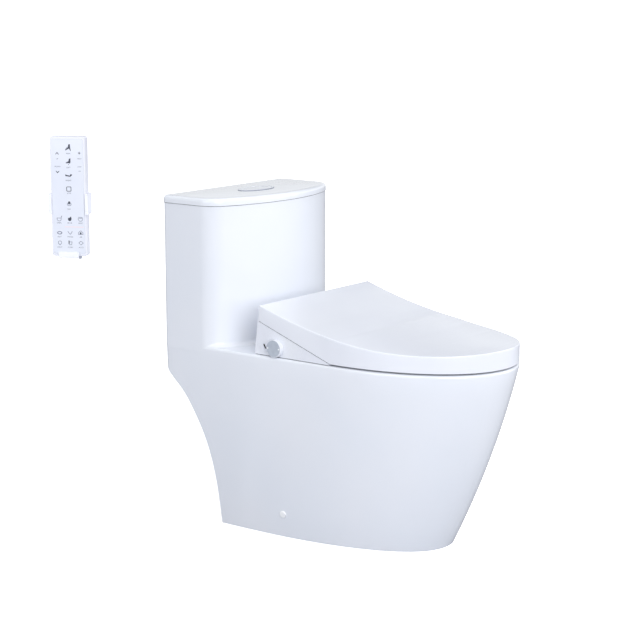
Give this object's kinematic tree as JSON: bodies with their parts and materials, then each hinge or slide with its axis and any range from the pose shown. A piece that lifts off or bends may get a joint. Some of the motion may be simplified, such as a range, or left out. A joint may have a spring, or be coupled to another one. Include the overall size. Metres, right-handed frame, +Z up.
{
  "type": "smart toilet",
  "caption": "One-piece skirted toilet with dual-flush tank, heated bidet seat under a soft-closing lid, wash wand, warm-air dryer and a remote control in a wall holder.",
  "frame": {"origin": "centre of the waste outlet at floor level", "axes": "+Z up, the bowl's front points to -Y, the tank's back to +Y"},
  "size_m": [0.9698, 0.7289, 0.873],
  "materials": {
    "china": "bluish-white gloss glaze",
    "white_plastic": "gloss, moulded",
    "grey_plastic": "satin",
    "dark_plastic": "satin",
    "button_white": "gloss, moulded",
    "nylon": "moulded",
    "soft_rubber": "moulded",
    "clear_hose": "translucent",
    "steel": "brushed",
    "brass_fitting": "machined",
    "heater_shell": "moulded",
    "wand_white": "gloss",
    "film_heater": "foil",
    "board": "lacquered board",
    "fan_black": "moulded",
    "battery": "plain sleeve"
  },
  "bodies": {
    "base": {"china_body": "china", "unit_cover": "white_plastic", "remote_holder": "white_plastic", "screw_caps": "white_plastic", "outlet_adapter": "nylon", "floor_brackets": "nylon", "unit_case": "nylon", "base_plate": "nylon", "bolt_nuts": "nylon", "flush_valve_body": "nylon", "fill_valve": "nylon", "fill_valve_nut": "nylon", "solenoid_valve": "nylon", "water_filter": "nylon", "wand_guide": "nylon", "blower_case": "nylon", "power_gland": "nylon", "seat_damper": "nylon", "lid_damper": "nylon", "outlet_seal": "soft_rubber", "flush_valve_gasket": "soft_rubber", "fill_valve_washer": "soft_rubber", "bolt_bushings": "soft_rubber", "refill_tube": "clear_hose", "skirt_screws": "steel", "seat_bolts": "steel", "lift_motors": "steel", "wand_motor": "steel", "fan_motor": "steel", "water_pump": "steel", "water_inlet": "brass_fitting", "water_heater": "heater_shell", "control_board": "board"},
    "seat": {"seat_upper_shell": "white_plastic", "seat_lower_shell": "white_plastic", "seat_heater": "film_heater", "seat_bumpers": "soft_rubber"},
    "lid": {"seat_lid": "white_plastic", "lid_bumpers": "soft_rubber"},
    "tank_cover": {"tank_lid": "china", "button_bezel": "button_white", "bezel_nut": "nylon"},
    "half_button": {"half_flush_button": "button_white"},
    "full_button": {"full_flush_button": "button_white"},
    "valve": {"flush_canister": "nylon", "flush_seal": "soft_rubber"},
    "float": {"fill_float": "nylon"},
    "knob": {"filter_knob": "white_plastic", "knob_face": "grey_plastic"},
    "release": {"release_button": "dark_plastic"},
    "wand": {"wash_wand": "steel", "wand_tip": "wand_white"},
    "fan": {"blower_fan": "fan_black"},
    "flap": {"dryer_flap": "white_plastic"},
    "remote": {"remote_front_case": "white_plastic", "remote_back_case": "white_plastic", "remote_key_film": "grey_plastic", "remote_board": "board", "remote_batteries": "battery"},
    "battery_door": {"remote_battery_door": "white_plastic"}
  },
  "joints": [
    {"name": "seat_hinge", "type": "hinge", "parent": "base", "child": "seat", "pos_m": [0, 0.034, 0.474], "axis": [-1, 0, 0], "range_deg": [0, 100]},
    {"name": "lid_hinge", "type": "hinge", "parent": "seat", "child": "lid", "pos_m": [0, 0.034, 0.474], "axis": [1, 0, 0], "range_deg": [-105, 0]},
    {"name": "tank_lid_lift", "type": "slide", "parent": "base", "child": "tank_cover", "axis": [0, 0, 1], "range_m": [0, 0.06]},
    {"name": "half_flush_press", "type": "slide", "parent": "tank_cover", "child": "half_button", "axis": [0, 0, -1], "range_m": [0, 0.007], "stiffness_N_per_m": 300},
    {"name": "full_flush_press", "type": "slide", "parent": "tank_cover", "child": "full_button", "axis": [0, 0, -1], "range_m": [0, 0.007], "stiffness_N_per_m": 400},
    {"name": "valve_lift", "type": "slide", "parent": "base", "child": "valve", "axis": [0, 0, 1], "range_m": [0, 0.0245]},
    {"name": "float_rise", "type": "slide", "parent": "base", "child": "float", "axis": [0, 0, 1], "range_m": [0, 0.085]},
    {"name": "filter_knob_turn", "type": "hinge", "parent": "base", "child": "knob", "pos_m": [-0.19, -0.004, 0.408], "axis": [-1, 0, 0], "range_deg": [0, 90]},
    {"name": "release_press", "type": "slide", "parent": "base", "child": "release", "axis": [1, 0, 0], "range_m": [0, 0.003], "stiffness_N_per_m": 300},
    {"name": "wand_slide", "type": "slide", "parent": "base", "child": "wand", "axis": [0, -0.9063, -0.4226], "range_m": [0, 0.11]},
    {"name": "fan_spin", "type": "hinge", "parent": "base", "child": "fan", "pos_m": [0.062, -0.014, 0.41], "axis": [0, 0, 1], "continuous": true},
    {"name": "flap_swing", "type": "hinge", "parent": "base", "child": "flap", "pos_m": [0.024, -0.0865, 0.4068], "axis": [-1, 0, 0], "range_deg": [0, 60]},
    {"name": "remote_lift", "type": "slide", "parent": "base", "child": "remote", "axis": [0, 0, 1], "range_m": [0, 0.13]},
    {"name": "battery_door_slide", "type": "slide", "parent": "remote", "child": "battery_door", "axis": [0, 0, 1], "range_m": [0, 0.045]}
  ],
  "couplings": [
    {"joint": "valve_lift", "follows": "full_flush_press", "ratio": 3.5}
  ]
}
